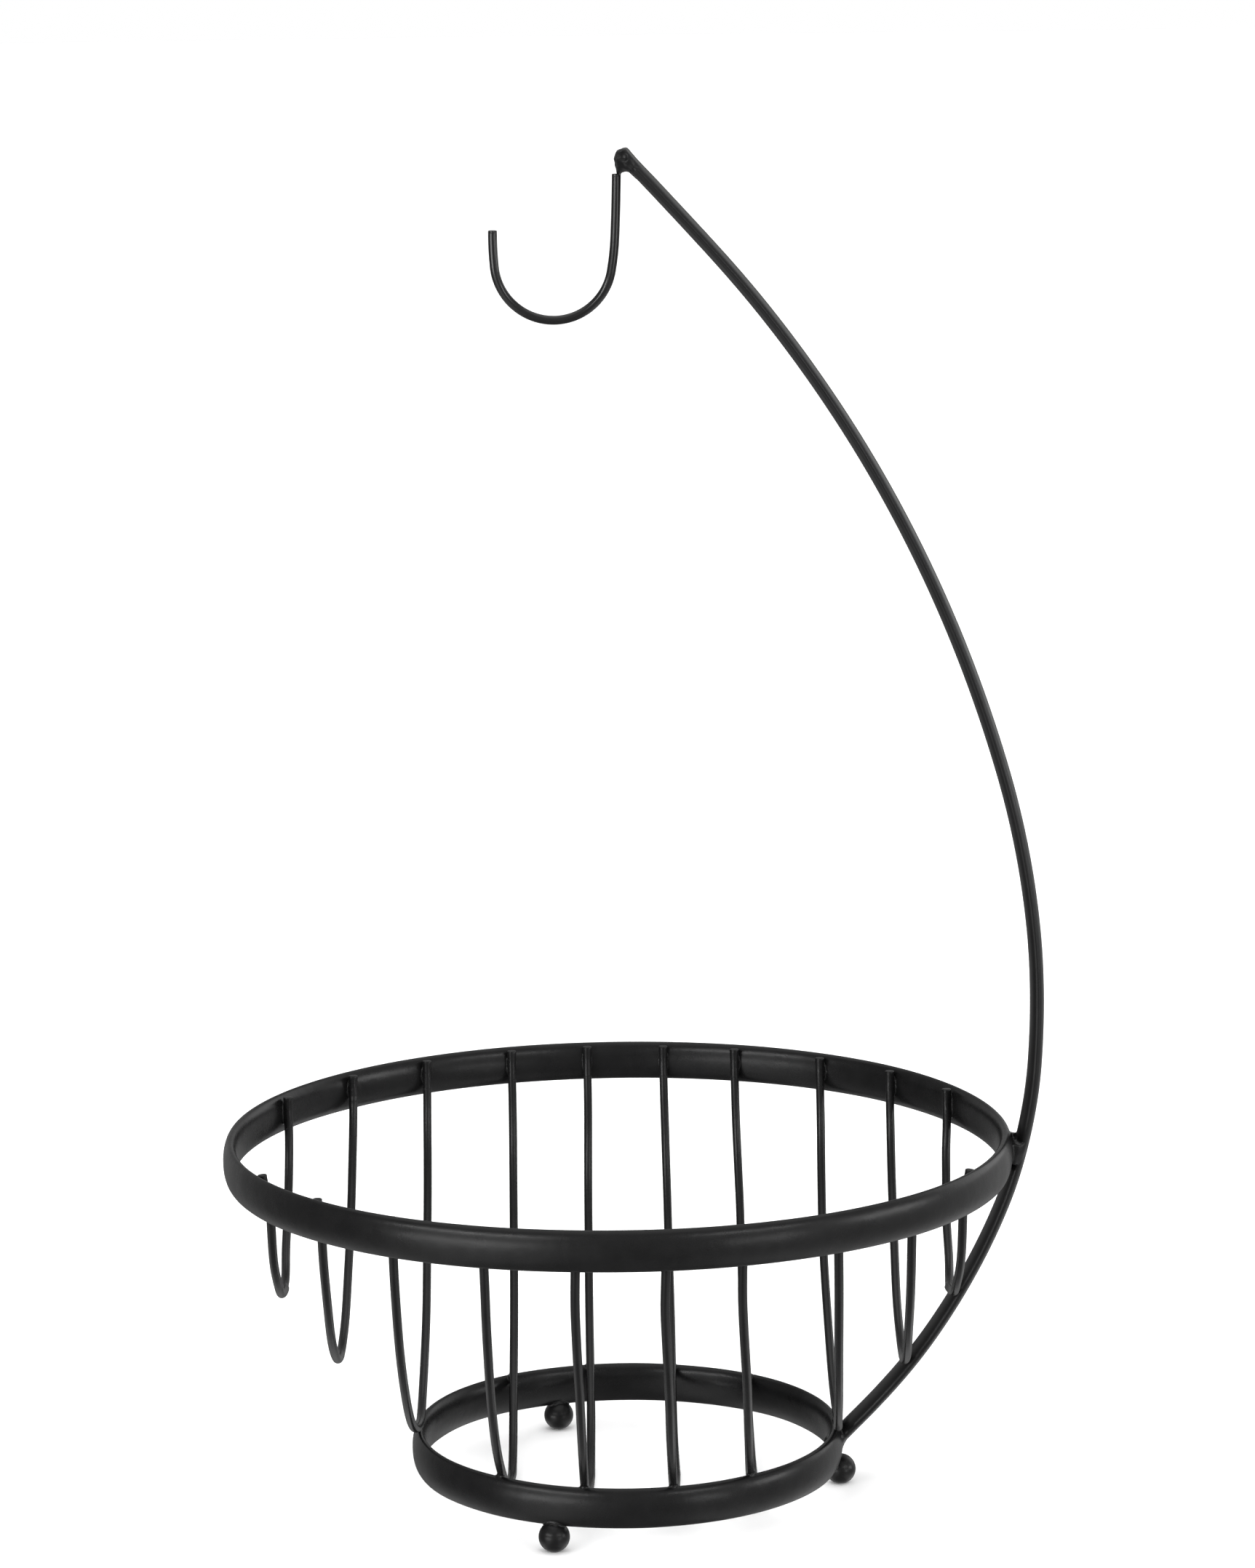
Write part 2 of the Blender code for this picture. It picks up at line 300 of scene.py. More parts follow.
band_coat = coat("band_coat")
arm_coat = coat("arm_coat", rough=0.34, level=0.13, peel=0.06)
wire_coat = coat("wire_coat", rough=0.27, level=0.13, peel=0.04)
hook_coat = coat("hook_coat", rough=0.18, spread=0.03, level=0.2, peel=0.025)
foot_coat = coat("foot_coat", rough=0.3, level=0.12)
weld_coat = coat("weld_coat", rough=0.25, level=0.14, peel=0.16)


# ------------------------------------------------------------------ bands

outline = band_outline(BAND_THICK, BAND_TALL, 80)


def table(rows):
    """A smooth reading of a short table: straight between its rows, rounded
    over by averaging."""
    u = np.array([r[0] for r in rows], float)
    v = np.array([r[1] for r in rows], float)
    reach = (u[-1] - u[0]) / len(u) / 2.2

    def read(x):
        x = np.asarray(x, float)
        return sum(np.interp(x + k * reach / 3, u, v) for k in (-2, -1, 0, 1, 2)) / 5

    return read


def out_of_true(a, seed, rise):
    """How far a rolled ring strays at an angle: outward, upward and in lean."""
    out = (0.035 * np.sin(5 * a + seed) + 0.03 * np.sin(9 * a + 2.1 * seed)
           + 0.02 * np.sin(17 * a + 0.7 * seed)) - 0.06
    up = rise(np.degrees(a)) + 0.02 * np.sin(7 * a + seed)
    tip = 0.008 * np.sin(4 * a + 0.4 * seed) + 0.006 * np.sin(11 * a + seed)
    return out, up, tip


RINGS = {"rim": (BAND_R, 0.0, RIM_Z, 0.8, table(RIM_RISE)),
         "base": (BASE_R, BASE_X, 0.0, 2.9, table(BASE_RISE))}


def band(ring, steps):
    """A flattened tube rolled on edge into a ring."""
    radius, x, z, seed, rise = RINGS[ring]
    a = np.linspace(-math.pi, math.pi, steps, endpoint=False)
    out, up, tip = (v[:, None] for v in out_of_true(a, seed, rise))
    r = radius + out + outline[None, :, 0] + tip * outline[None, :, 1]
    h = z + up + outline[None, :, 1]
    a = a[:, None]
    return np.stack([x + r * np.cos(a), r * np.sin(a), h], -1)


verts, faces = skin(band("rim", 480), around=True)
piece("rim", verts, faces, band_coat, "band_coat", "rim_ring")
verts, faces = skin(band("base", 288), around=True)
piece("base", verts, faces, band_coat, "band_coat", "base_ring")

# -------------------------------------------------------------------- arm

arm_fine, arm_end = bent(ARM_START, ARM_HEADING, ARM_BENDS, 1.5)
lead = math.radians(ARM_HEADING)
run_in = [(ARM_START[0] - d * math.cos(lead), ARM_START[1] - d * math.sin(lead))
          for d in np.arange(ARM_RUN_IN, 0.5, -1.5)]
arm_fine = np.array(run_in + arm_fine)
arm_t = np.gradient(arm_fine, axis=0)
arm_t /= np.linalg.norm(arm_t, axis=1)[:, None]
arm_n = arm_t[:, ::-1] * [1, -1]                       # to the outer side
arm_fine = arm_fine + arm_n * table(ARM_SHIFT)(arm_fine[:, 1])[:, None]
arm_line = np.stack([arm_fine[:, 0], np.zeros(len(arm_fine)), arm_fine[:, 1]], 1)
arm_outline = band_outline(ARM_THICK, ARM_WIDE, 80)
side = np.stack([arm_n[:, 0], np.zeros(len(arm_n)), arm_n[:, 1]], 1)
ARM_CUT = 4            # the last steps belong to the weld at the tip
verts, faces = skin(sweep(arm_line, side, arm_outline)[:-ARM_CUT])
arm = piece("arm", verts, faces, arm_coat, "band_coat", "hanger_arm")

# ------------------------------------------------------------------- hook

circle = np.array([(math.cos(t), math.sin(t)) for t in
                   np.linspace(0.0, 2 * math.pi, 24, endpoint=False)])


def wire(points, radius, side=(1.0, 0.0, 0.0), grow=None):
    """Round wire with square-cut, barely rounded ends."""
    points = np.asarray(points, float)
    t0 = points[0] - points[1]
    t1 = points[-1] - points[-2]
    t0 /= np.linalg.norm(t0)
    t1 /= np.linalg.norm(t1)
    steps = ((0.0, 0.42), (0.05, 0.22), (0.15, 0.07), (0.34, 0.0))
    head = [points[0] - t0 * d for d, _ in steps]
    tail = [points[-1] - t1 * d for d, _ in steps][::-1]
    keep = points[1:-1]
    run = np.vstack([head, keep, tail])
    r = np.full(len(run), radius)
    if grow is not None:
        r = r + grow(run)
    for k, (_, off) in enumerate(steps):
        r[k] -= off
        r[-1 - k] -= off
    rings = sweep(run, np.broadcast_to(np.array(side), run.shape), circle,
                  np.stack([r, r], 1))
    return skin(rings)


hook_line, _ = bent(HOOK_START, HOOK_HEADING, HOOK_BENDS, 3.0)
hook_run = even([(x, 0.0, z) for x, z in hook_line], 1.0)
keep = np.flatnonzero(hook_run[:, 2] > 431.2)
hook_run = hook_run[keep[keep < 20].max():]            # the weld holds the rest
verts, faces = wire(hook_run, WIRE_R, side=(0.0, 1.0, 0.0))
piece("hook", verts, faces, hook_coat, "wire_coat", "banana_hook")

# ------------------------------------------------------------------ wires


def u_wire(row, bottom, fullness, count=721):
    """Points along one wire, front end to back end."""
    front, low, back = row
    t = np.linspace(0.0, math.pi, count)
    c, s = np.cos(t), np.sin(t)
    end = np.where(c > 0, front, back)
    reach = np.sqrt(WIRE_END_R ** 2 - end ** 2)
    y = -np.sign(c) * reach * np.abs(c) ** (2 / fullness)
    z = WIRE_TOP_Z - (WIRE_TOP_Z - bottom) * np.abs(s) ** (2 / fullness)
    x = low + (end - low) * np.abs(c) ** (2 / fullness)
    return np.stack([x, y, z], 1)


def trimmed(run, front_z, back_z):
    """The wire cut, or carried straight on, to the heights of its two ends."""
    for end, height in ((0, front_z), (-1, back_z)):
        if height < run[end, 2]:
            keep = run[:, 2] < height - 0.2
            half = len(run) // 2
            if end == 0:
                run = run[int(np.argmax(keep)):]
            else:
                run = run[:len(run) - int(np.argmax(keep[::-1]))]
        last = run[end] + [0, 0, height - run[end, 2]]
        if abs(last[2] - run[end, 2]) > 0.05:
            run = np.vstack([last, run]) if end == 0 else np.vstack([run, last])
    return run


def off_base(points):
    """Distance from a wire's centre line to the base band's surface."""
    r = np.hypot(points[:, 0] - BASE_X, points[:, 1]) - BASE_R
    near = (np.abs(r) < 12) & (np.abs(points[:, 2]) < 16)
    if not near.any():
        return 9.0
    d = np.hypot(r[near][:, None] - outline[None, :, 0],
                 points[near][:, 2][:, None] - outline[None, :, 1])
    return d.min()


def off_arm(x, z):
    """Signed distance from the arm's centre line, positive inside the bend."""
    to = np.array([x, z]) - arm_fine
    i = int(np.argmin(np.hypot(to[:, 0], to[:, 1])))
    along = arm_fine[min(i + 1, len(arm_fine) - 1)] - arm_fine[max(i - 1, 0)]
    side = along[0] * to[i, 1] - along[1] * to[i, 0]
    return math.copysign(math.hypot(to[i, 0], to[i, 1]), side)


touch = WIRE_R - 0.04
wire_runs = {}
for number, row in enumerate(WIRE_ROWS, 1):
    if number in FREE_WIRES:
        fullness, bottom = FREE_WIRES[number]
    elif number in RIM_TO_BASE:
        fullness = RIM_TO_BASE[number]
        bottom = solve(lambda z: off_base(u_wire(row, z, fullness)) - touch, 7.5, 20.0)
    elif number in RIM_TO_ARM:
        fullness = RIM_TO_ARM[number]
        bottom = solve(lambda z: off_arm(row[1], z) - touch - ARM_THICK / 2, 24.0, 90.0)
    else:
        bottom = UNDER_BASE[number]
        fullness = solve(lambda p: off_base(u_wire(row, bottom, p)) - touch, 1.4, 2.6)
    run = even(u_wire(row, bottom, fullness), 0.5)
    if number in LEAN:
        front, back = (table(rows) for rows in LEAN[number])
        run[:, 0] += np.where(run[:, 1] < 0, front(run[:, 2]), back(run[:, 2]))
    run = even(trimmed(run, *WIRE_ENDS.get(number, ENDS)), 1.5)
    # hand-straightened wire is never quite true
    s = np.arange(len(run)) / len(run)
    fade = np.clip(np.minimum(s, 1 - s) * 12, 0, 1)
    run[:, 0] += fade * (0.10 * np.sin(2 * math.pi * (2.3 * s + 0.37 * number))
                         + 0.05 * np.sin(2 * math.pi * (5.1 * s + 0.61 * number)))
    wire_runs[number] = run

    def flare(p):
        # the weld's squeeze spreads the last few millimetres
        return 0.16 * np.clip((p[:, 2] - 104.0) / 5.0, 0.0, 1.0) ** 1.5

    verts, faces = wire(run, WIRE_R, grow=flare)
    piece("wire_%02d_rod" % number, verts, faces, wire_coat, "wire_coat", "wire_%02d" % number)

# ------------------------------------------------------------------- feet

drop = math.sqrt(FOOT_R ** 2 - FOOT_FLAT_R ** 2)
low_angle = math.pi - math.asin(FOOT_FLAT_R / FOOT_R)
for name, angle, out in FEET:
    a = math.radians(angle)
    centre = np.array([BASE_X + out * math.cos(a), out * math.sin(a), FLOOR_Z + drop])
    lat = np.linspace(0.02, low_angle, 34)
    profile = [(FOOT_R * math.sin(t), FOOT_R * math.cos(t)) for t in lat]
    profile += [(FOOT_FLAT_R * 0.8, -drop), (FOOT_FLAT_R * 0.4, -drop)]
    spin = np.linspace(0.0, 2 * math.pi, 48, endpoint=False)
    rings = np.array([[centre + [r * math.cos(q), r * math.sin(q), h] for q in spin]
                      for r, h in profile])
    verts, faces = skin(rings)
    piece(name + "_ball", verts, faces, foot_coat, "foot_coat", name)

# ------------------------------------------------------------------ welds
#
# Each weld is the place where two or three pieces run together. Their
# surfaces are written as distances, blended where they come close, and the
# blend is meshed as a small closed body that sinks into its neighbours.

def outline_distance(outline, reach=6.0, step=0.125):
    """Signed distance from a closed outline, read from a fine table."""
    low = outline.min(0) - reach
    n = np.ceil((outline.max(0) + reach - low) / step).astype(int) + 1
    xs, zs = (low[k] + step * np.arange(n[k]) for k in range(2))
    x, z = (v.ravel() for v in np.meshgrid(xs, zs, indexing="ij"))
    best = np.full(len(x), 1e9)
    inside = np.zeros(len(x), bool)
    for (ax, az), (bx, bz) in zip(outline, np.roll(outline, -1, axis=0)):
        ex, ez = bx - ax, bz - az
        t = np.clip(((x - ax) * ex + (z - az) * ez) / (ex * ex + ez * ez), 0.0, 1.0)
        best = np.minimum(best, (x - ax - t * ex) ** 2 + (z - az - t * ez) ** 2)
        if az != bz:
            inside ^= ((az > z) != (bz > z)) & (x < ax + ex * (z - az) / ez)
    values = (np.sqrt(best) * np.where(inside, -1.0, 1.0)).reshape(n)

    def read(x, z):
        u = np.clip((x - low[0]) / step, 0, n[0] - 1.001)
        v = np.clip((z - low[1]) / step, 0, n[1] - 1.001)
        i, j = u.astype(int), v.astype(int)
        u, v = u - i, v - j
        return ((values[i, j] * (1 - u) + values[i + 1, j] * u) * (1 - v)
                + (values[i, j + 1] * (1 - u) + values[i + 1, j + 1] * u) * v)

    return read


band_distance = outline_distance(outline)
arm_distance = outline_distance(arm_outline)


def merge(a, b, k):
    """The lower of two distances, with a fillet k wide where they meet."""
    h = np.maximum(k - np.abs(a - b), 0.0) / k
    return np.minimum(a, b) - h * h * k / 4


def ring_body(ring):
    radius, x, z, seed, rise = RINGS[ring]

    def distance(p):
        out, up, tip = out_of_true(np.arctan2(p[:, 1], p[:, 0] - x), seed, rise)
        h = p[:, 2] - z - up
        return band_distance(np.hypot(p[:, 0] - x, p[:, 1]) - radius - out - tip * h, h)

    return distance


def rod_body(run, radius, centre, reach):
    """Round wire near a point; an end of it that is near is cut square."""
    run = np.vstack([run[:-1:2], run[-1:]])
    near = np.flatnonzero(np.linalg.norm(run - centre, axis=1) < reach + 3.0)
    first, last = max(near.min() - 1, 0), min(near.max() + 1, len(run) - 1)
    a, b = run[first:last], run[first + 1:last + 1]
    along = b - a
    size = (along ** 2).sum(1)

    def distance(p):
        t = ((p[:, None, :] - a) * along).sum(2) / size
        low = np.zeros(len(a))
        high = np.ones(len(a))
        if first == 0:
            low[0] = -9.0
        if last == len(run) - 1:
            high[-1] = 9.0
        t = np.clip(t, low, high)
        d = np.sqrt(((p[:, None, :] - a - t[..., None] * along) ** 2).sum(2).min(1)) - radius
        for end, inner in ((0, 1), (-1, -2)):
            if (first == 0 and end == 0) or (last == len(run) - 1 and end == -1):
                out = run[end] - run[inner]
                d = -merge(-d, -((p - run[end]) @ (out / np.linalg.norm(out))), 0.45)
        return d

    return distance


def arm_body(p):
    x, z = p[:, 0], p[:, 2]
    a, b = arm_fine[:-1], arm_fine[1:]
    box = (a[:, 1] > z.min() - 12) & (a[:, 1] < z.max() + 12)
    a, b, n = a[box], b[box], arm_n[:-1][box]
    e = b - a
    dx, dz = x[:, None] - a[:, 0], z[:, None] - a[:, 1]
    t = np.clip((dx * e[:, 0] + dz * e[:, 1]) / (e ** 2).sum(1), 0.0, 1.0)
    d2 = (dx - t * e[:, 0]) ** 2 + (dz - t * e[:, 1]) ** 2
    i = d2.argmin(1)
    q = np.arange(len(x))
    off = dx[q, i] * n[i, 0] + dz[q, i] * n[i, 1] - t[q, i] * (e[i] * n[i]).sum(1)
    return arm_distance(off, p[:, 1])


def ball_body(centre, radius):
    return lambda p: np.linalg.norm(p - centre, axis=1) - radius


def surface_net(distance, low, high, step):
    """A closed quad mesh on the zero level of a distance, its points pulled
    onto the level."""
    axes = [np.arange(low[k], high[k] + step, step) for k in range(3)]
    grid = np.stack(np.meshgrid(*axes, indexing="ij"), -1)
    size = grid.shape[:3]
    # a coarse pass first; only the points near the surface are worked out
    coarse = grid[::4, ::4, ::4]
    value = distance(coarse.reshape(-1, 3)).reshape(coarse.shape[:3])
    for k in range(3):
        value = np.take(value, np.minimum((np.arange(size[k]) + 2) // 4, value.shape[k] - 1), axis=k)
    close = np.abs(value) < 4.2 * step
    value[close] = distance(grid[close])
    cells = tuple(n - 1 for n in size)
    total, count = np.zeros(cells + (3,)), np.zeros(cells)
    crossings = []
    for axis in range(3):
        one, two = [slice(None)] * 3, [slice(None)] * 3
        one[axis], two[axis] = slice(None, -1), slice(1, None)
        a, b = value[tuple(one)], value[tuple(two)]
        crossed = (a < 0) != (b < 0)
        where = grid[tuple(one)].copy()
        where[..., axis] += step * a / np.where(crossed, a - b, 1.0)
        where *= crossed[..., None]
        others = [k for k in range(3) if k != axis]
        for p in (0, 1):
            for q in (0, 1):
                part = [slice(None)] * 3
                part[others[0]] = slice(p, size[others[0]] - 1 + p)
                part[others[1]] = slice(q, size[others[1]] - 1 + q)
                total += where[tuple(part)]
                count += crossed[tuple(part)]
        crossings.append((crossed, a < 0, others))
    active = count > 0
    verts = total[active] / count[active][:, None]
    number = np.full(cells, -1)
    number[active] = np.arange(len(verts))
    faces = []
    for axis, (crossed, filled, (u, v)) in enumerate(crossings):
        at = np.argwhere(crossed)
        inner = (at[:, u] > 0) & (at[:, u] < cells[u]) & (at[:, v] > 0) & (at[:, v] < cells[v])
        at = at[inner]
        corner = []
        for p, q in ((1, 1), (0, 1), (0, 0), (1, 0)):
            cell = at.copy()
            cell[:, u] -= p
            cell[:, v] -= q
            corner.append(number[tuple(cell.T)])
        quad = np.stack(corner, 1)
        flip = filled[tuple(at.T)] == (axis == 1)
        quad[flip] = quad[flip][:, ::-1]
        faces.append(quad)
    for _ in range(2):
        d = distance(verts)
        slope = np.stack([(distance(verts + e) - d) / 0.05 for e in np.eye(3) * 0.05], 1)
        steep = np.maximum((slope ** 2).sum(1), 0.3)
        verts = verts - np.clip(d / steep, -step / 2, step / 2)[:, None] * slope
    return verts, np.vstack(faces)


def lumps(p, seed):
    """The uneven swell of a weld bead, about -1 to 1."""
    x, y, z = p.T
    return (np.sin(1.7 * x + 1.3 * z + seed) * np.sin(1.9 * y - 0.8 * x + 2 * seed)
            + 0.6 * np.sin(2.9 * z + 1.1 * y + 3 * seed) * np.sin(2.3 * x - 1.6 * y + seed))


def weld(bodies, centre, shape, swell, seed=0.0, rough=0.05, step=0.26):
    """The blend of bodies inside an ellipsoid, fading out towards its skin."""
    centre, shape = np.asarray(centre, float), np.asarray(shape, float)

    def distance(p):
        q = np.linalg.norm((p - centre) / shape, axis=1)
        fade = np.clip(1.0 - q * q, 0.0, 1.0)
        k = np.maximum(swell * np.sqrt(fade) * (1 - (1 - fade) ** 3), 1e-3)
        d = bodies[0](p)
        for body in bodies[1:]:
            d = merge(d, body(p), k)
        d = d + 0.03 - rough * fade ** 2 * lumps(p, seed)
        return np.maximum(d, (q - 1.0) * shape.min())

    return surface_net(distance, centre - shape - step, centre + shape + step, step)


def weld_piece(name, slot, bodies):
    """Several welds as one piece."""
    verts, faces, start = [], [], 0
    for v, f in bodies:
        verts.append(v)
        faces.append(f + start)
        start += len(v)
    return piece(name, np.vstack(verts), np.vstack(faces).tolist(), weld_coat, slot)


def contact(run, body, rows):
    """The point of a run that comes closest to a body, moved onto it."""
    part = run[rows]
    d = body(part)
    i = int(d.argmin())
    p = part[i:i + 1]
    slope = np.array([(body(p + e) - body(p - e))[0] / 0.2 for e in np.eye(3) * 0.1])
    return p[0] - slope / np.linalg.norm(slope) * max(d[i], 0.2)


rim_body, base_body = ring_body("rim"), ring_body("base")

# the wires' ends on the rim's inner wall
beads = []
for number, run in wire_runs.items():
    for end in (0, -1):
        tip = run[end]
        wall = np.array([tip[0], tip[1], 0.0]) / math.hypot(tip[0], tip[1])
        centre = np.array([tip[0], tip[1], 103.4]) + wall * 0.9
        rod = rod_body(run, WIRE_R + 0.05, centre, 7.5)
        beads.append(weld([rim_body, rod], centre, (3.9, 3.9, 6.4), 1.5, seed=number + 0.5 * end))
weld_piece("weld_rim_wires", "wire_coat", beads)

# where wires cross the base band
beads = []
for number in (3, 4, 5, 6, 7, 8):
    run = wire_runs[number]
    halves = (run[:, 1] < 0, run[:, 1] > 0) if number in UNDER_BASE else (np.ones(len(run), bool),)
    for rows in halves:
        at = contact(run, base_body, rows)
        rod = rod_body(run, WIRE_R, at, 7.0)
        shape = (4.4, 4.4, 4.4) if number in UNDER_BASE else (4.0, 7.0, 4.0)
        beads.append(weld([base_body, rod], at, shape, 1.7, seed=1.3 * number))
weld_piece("weld_base_wires", "wire_coat", beads)

# the two wires that lie on the arm
beads = []
for number in (9, 10):
    run = wire_runs[number]
    at = contact(run, arm_body, np.abs(run[:, 1]) < 4)
    beads.append(weld([arm_body, rod_body(run, WIRE_R, at, 9.0)], at, (4.2, 7.6, 4.2), 1.6, seed=number))
weld_piece("weld_arm_wires", "wire_coat", beads)

# the arm's foot on the base band, beside the last wire on it
foot_at = np.array([BASE_X + BASE_OUTER_R + 0.6, 0.0, 2.6])
weld_piece("weld_arm_base", "band_coat",
           [weld([base_body, arm_body], foot_at, (7.5, 9.6, 8.5), 2.6, seed=4.0, rough=0.08)])

# ball feet
beads = []
for name, angle, out in FEET:
    a = math.radians(angle)
    ball = np.array([BASE_X + out * math.cos(a), out * math.sin(a), FLOOR_Z + drop])
    at = ball + [0, 0, FOOT_R - 1.0]
    beads.append(weld([base_body, ball_body(ball, FOOT_R)], at, (5.4, 5.4, 4.6), 1.5, seed=angle))
weld_piece("weld_feet", "foot_coat", beads)

# the arm on the rim: two beads in the wedge between them, one at each edge of
# the arm, with a hollow left between their tops
rods = []
for y, top in ((-5.9, 105.3), (5.9, 106.2)):
    line = np.array([(133.3, y, 98.9), (134.0, y, 101.5), (134.7, y, top - 2.2), (134.9, y, top)])
    centre = line.mean(0)
    rods.append(rod_body(even(line, 0.5), 1.9, centre, 20.0))


def rim_bead(p):
    return np.minimum(rods[0](p), rods[1](p))


weld_piece("weld_arm_rim", "band_coat",
           [weld([rim_body, arm_body, rim_bead], (134.8, 0.0, 103.6), (6.4, 11.5, 8.0), 2.6,
                 seed=2.0, rough=0.04)])

# The arm's tip: its end is flattened over and a wedge of weld runs down from
# it into the top of the hook's shank. A puddle left a round pit on its edge.
wedge_distance = outline_distance(np.array(
    [(6.9, 440.1), (4.5, 439.55), (3.75, 439.1), (3.28, 438.2), (3.07, 436.3), (3.1, 434.8),
     (3.45, 433.4), (3.62, 432.3), (4.1, 429.4), (4.7, 429.4), (5.02, 431.3), (5.35, 432.05), (6.45, 432.6),
     (7.9, 432.8), (11.0, 430.4), (12.5, 432.2)]), reach=9.0)
end_at = np.array([arm_fine[-1][0], 0.0, arm_fine[-1][1]])
end_way = np.array([math.cos(arm_end), 0.0, math.sin(arm_end)])
pit = np.array([5.6, -7.9, 437.7])


def tip_body(p):
    arm = -merge(-arm_body(p), -((p - end_at) @ end_way), 0.7)
    half = np.interp(p[:, 2], (429.0, 431.0, 432.5, 434.5, 436.6, 441.0),
                     (1.0, 1.4, 2.6, 5.0, 6.55, 6.3))
    wedge = -merge(-wedge_distance(p[:, 0], p[:, 2]), -0.8 * (np.abs(p[:, 1]) - half), 1.5)
    d = merge(arm, wedge, 1.6)
    d = d - 0.07 * lumps(p * 0.8, 5.0) * np.clip((p[:, 0] - 11.0) / -4.0, 0.0, 1.0)
    d = -merge(-d, np.linalg.norm(p - pit, axis=1) - 2.15, 0.5)
    d = -merge(-(d + 0.02), (p - end_at) @ end_way + 9.5, 0.1)
    d = -merge(-d, 440.2 - p[:, 2], 0.3)
    return d


verts, faces = surface_net(tip_body, np.array([1.5, -8.2, 428.5]), np.array([15.0, 8.2, 442.0]), 0.22)
piece("tip_weld", verts, faces.tolist(), arm_coat, "band_coat")

# ------------------------------------------------------------------ stage

stage_mat = bpy.data.materials.new("pale_floor")
stage_mat.use_nodes = True
floor_shader = stage_mat.node_tree.nodes["Principled BSDF"]
floor_shader.inputs["Base Color"].default_value = (0.88, 0.88, 0.88, 1.0)
floor_shader.inputs["Roughness"].default_value = 0.9
floor_shader.inputs["Specular IOR Level"].default_value = 0.1
floor_mesh = bpy.data.meshes.new("floor")
reach = 90.0
floor_mesh.from_pydata([(-reach, -reach, 0), (reach, -reach, 0), (reach, reach, 0), (-reach, reach, 0)],
                       [], [(0, 1, 2, 3)])
floor_mesh.materials.append(stage_mat)
floor = bpy.data.objects.new("floor", floor_mesh)
bpy.context.scene.collection.objects.link(floor)
floor.visible_glossy = False         # the coat mirrors the dim room, not the lit floor
floor.visible_shadow = False

# a pale backdrop far away, for views that look above the floor's horizon
pale = bpy.data.materials.new("pale_backdrop")
pale.use_nodes = True
pale_shader = pale.node_tree.nodes["Principled BSDF"]
pale_shader.inputs["Base Color"].default_value = (0.0, 0.0, 0.0, 1.0)
pale_shader.inputs["Specular IOR Level"].default_value = 0.0
pale_shader.inputs["Emission Color"].default_value = (1.0, 1.0, 1.0, 1.0)
pale_shader.inputs["Emission Strength"].default_value = 1.0
a = np.linspace(0.0, 2 * math.pi, 96, endpoint=False)
rings = np.array([[(r * math.cos(q), r * math.sin(q), h) for q in a]
                  for r, h in ((26.0, -1.0), (26.0, 8.0), (20.0, 17.5), (1.0, 26.0))])
verts, faces = skin(rings)
backdrop_mesh = bpy.data.meshes.new("backdrop")
backdrop_mesh.from_pydata(verts.tolist(), [], faces)
backdrop_mesh.materials.append(pale)
backdrop = bpy.data.objects.new("backdrop", backdrop_mesh)
bpy.context.scene.collection.objects.link(backdrop)
backdrop.visible_diffuse = False
backdrop.visible_glossy = False
backdrop.visible_transmission = False
backdrop.visible_shadow = False

world = bpy.data.worlds.new("studio")
bpy.context.scene.world = world
world.use_nodes = True
tree = world.node_tree
back = tree.nodes["Background"]
place = tree.nodes.new("ShaderNodeTexCoord")
parts = tree.nodes.new("ShaderNodeSeparateXYZ")
tree.links.new(place.outputs["Generated"], parts.inputs["Vector"])


def math_of(operation, *inputs):
    node = tree.nodes.new("ShaderNodeMath")
    node.operation = operation
    for k, value in enumerate(inputs):
        if isinstance(value, (int, float)):
            node.inputs[k].default_value = value
        else:
            tree.links.new(value, node.inputs[k])
    return node.outputs[0]


def ramp_of(value, rows, scale=1.0):
    """A curve read at a value from -1 to 1."""
    node = tree.nodes.new("ShaderNodeValToRGB")
    e = node.color_ramp.elements
    while len(e) < len(rows):
        e.new(0.5)
    for stop, (position, level) in zip(e, rows):
        stop.position = position / 2 + 0.5
        level /= scale
        stop.color = (level, level, level, 1)
    tree.links.new(math_of("MULTIPLY_ADD", value, 0.5, 0.5), node.inputs["Fac"])
    return math_of("MULTIPLY", node.outputs["Color"], scale)


def toward(x, y, z):
    node = tree.nodes.new("ShaderNodeVectorMath")
    node.operation = "DOT_PRODUCT"
    node.inputs[1].default_value = Vector((x, y, z)).normalized()
    tree.links.new(place.outputs["Generated"], node.inputs[0])
    return node.outputs["Value"]


# The room: a bright ceiling, and walls and table that are lit in front of the
# basket and to its right and fall dark on its left.
X, Y, Z = (parts.outputs[k] for k in "XYZ")
ceiling = ramp_of(Z, ((-0.01, 0.0), (0.0, 0.3), (0.08, 0.0), (0.62, 0.0), (0.8, 2.2), (1.0, 2.5)),
                  scale=3.0)
walls = ramp_of(Y, ((-1.0, 0.85), (-0.5, 0.65), (0.0, 0.2), (0.5, 0.2), (1.0, 0.35)))
right = ramp_of(X, ((-1.0, 0.1), (-0.85, 0.15), (-0.65, 0.2), (-0.3, 0.0), (0.0, 0.0), (0.4, 0.15),
                    (0.8, 0.7), (1.0, 0.8)))
height = ramp_of(Z, ((-1.0, 0.8), (-0.8, 1.05), (-0.5, 0.7), (-0.2, 0.85), (0.2, 1.2), (0.7, 1.2)), scale=2.0)
table_glow = ramp_of(toward(-0.6, -0.78, -0.22), ((0.84, 0.0), (0.96, 1.3), (1.0, 1.6)), scale=2.0)
room = math_of("MULTIPLY", math_of("ADD", walls, right), height)
deep = ramp_of(Z, ((-1.0, 0.5), (-0.75, 0.7), (-0.5, 0.3), (-0.3, 0.0)), scale=2.0)
sides = ramp_of(X, ((-1.0, 1.3), (-0.65, 0.9), (-0.35, 0.0), (0.3, 0.0), (0.5, 1.2), (1.0, 1.5)), scale=2.0)
low = ramp_of(Z, ((-1.0, 0.0), (-0.92, 0.2), (-0.82, 1.0), (-0.62, 1.0), (-0.32, 0.0)))
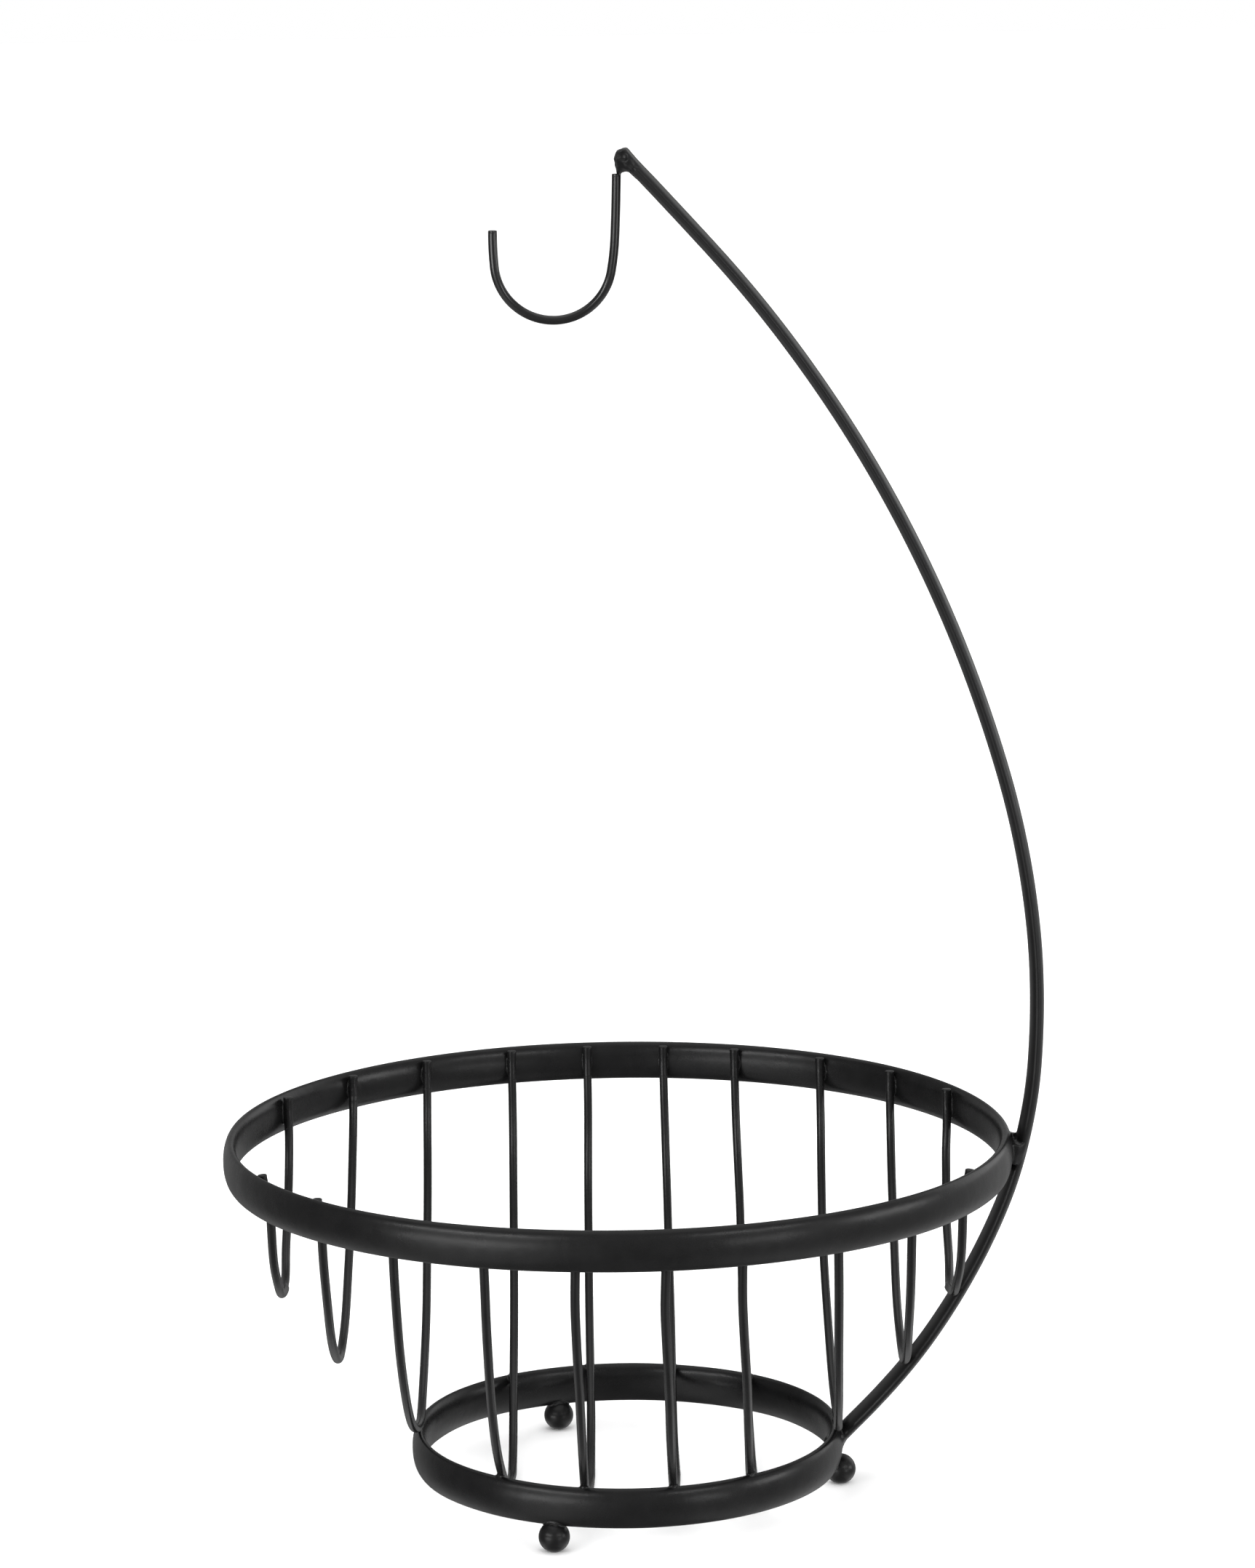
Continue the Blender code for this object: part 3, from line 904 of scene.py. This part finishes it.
room = math_of("ADD", math_of("MAXIMUM", room, deep), math_of("MULTIPLY", sides, low))
room = math_of("ADD", room, table_glow)
tree.links.new(math_of("MAXIMUM", ceiling, room), back.inputs["Strength"])
back.inputs["Color"].default_value = (1.0, 1.0, 1.0, 1.0)


def lamp(name, where, target, size, power, size_y=None):
    data = bpy.data.lights.new(name, "AREA")
    data.shape = "RECTANGLE"
    data.size = size
    data.size_y = size_y or size
    data.energy = power
    obj = bpy.data.objects.new(name, data)
    obj.location = where
    aim = Vector(target) - Vector(where)
    obj.rotation_euler = aim.to_track_quat("-Z", "Y").to_euler()
    obj.visible_camera = False
    bpy.context.scene.collection.objects.link(obj)
    return obj


def softbox(name, azimuth, elevation, width, height, glow, away=3.1):
    """A softbox by its bearing from the camera's side (0 is towards the camera,
    90 to the right) and by how bright its face is."""
    a, e = math.radians(azimuth), math.radians(elevation)
    where = Vector((math.sin(a) * math.cos(e), -math.cos(a) * math.cos(e), math.sin(e))) * away
    where.z += 0.12
    return lamp(name, where, (0, 0, 0.12), width, glow * math.pi * width * height, height)


softbox("low_left", -42, -3.7, 6.0, 1.3, 12.0, 9.0)
softbox("strip_left", -42, 21, 2.3, 0.26, 26.0)
softbox("low_front_right", 43, -4.3, 3.1, 1.3, 8.0, 9.0)
softbox("strip_front_right", 39, 22.5, 1.5, 0.26, 16.0)
softbox("box_right", 82, 6.8, 1.4, 0.6, 9.5)
softbox("rim_light", 130, 20, 2.0, 2.0, 1.2)

# ----------------------------------------------------------------- camera

pitch, yaw, roll = math.radians(9.878), math.radians(-0.855), math.radians(-0.697)
ahead = np.array([math.sin(yaw) * math.cos(pitch), math.cos(yaw) * math.cos(pitch), -math.sin(pitch)])
level = np.array([math.cos(yaw), -math.sin(yaw), 0.0])
upward = np.cross(level, ahead)
right = math.cos(roll) * level + math.sin(roll) * upward
up = -math.sin(roll) * level + math.cos(roll) * upward
lens = bpy.data.cameras.new("camera")
lens.sensor_width = 36.0
lens.lens = 6648.3 / 2156 * 36.0
lens.clip_end = 200.0
camera = bpy.data.objects.new("camera", lens)
camera.matrix_world = Matrix(((right[0], up[0], -ahead[0], 0.02323),
                              (right[1], up[1], -ahead[1], -1.5937),
                              (right[2], up[2], -ahead[2], 0.5222),
                              (0, 0, 0, 1)))
bpy.context.scene.collection.objects.link(camera)
bpy.context.scene.camera = camera

bpy.context.scene.view_settings.view_transform = "Standard"
bpy.context.scene.view_settings.look = "None"
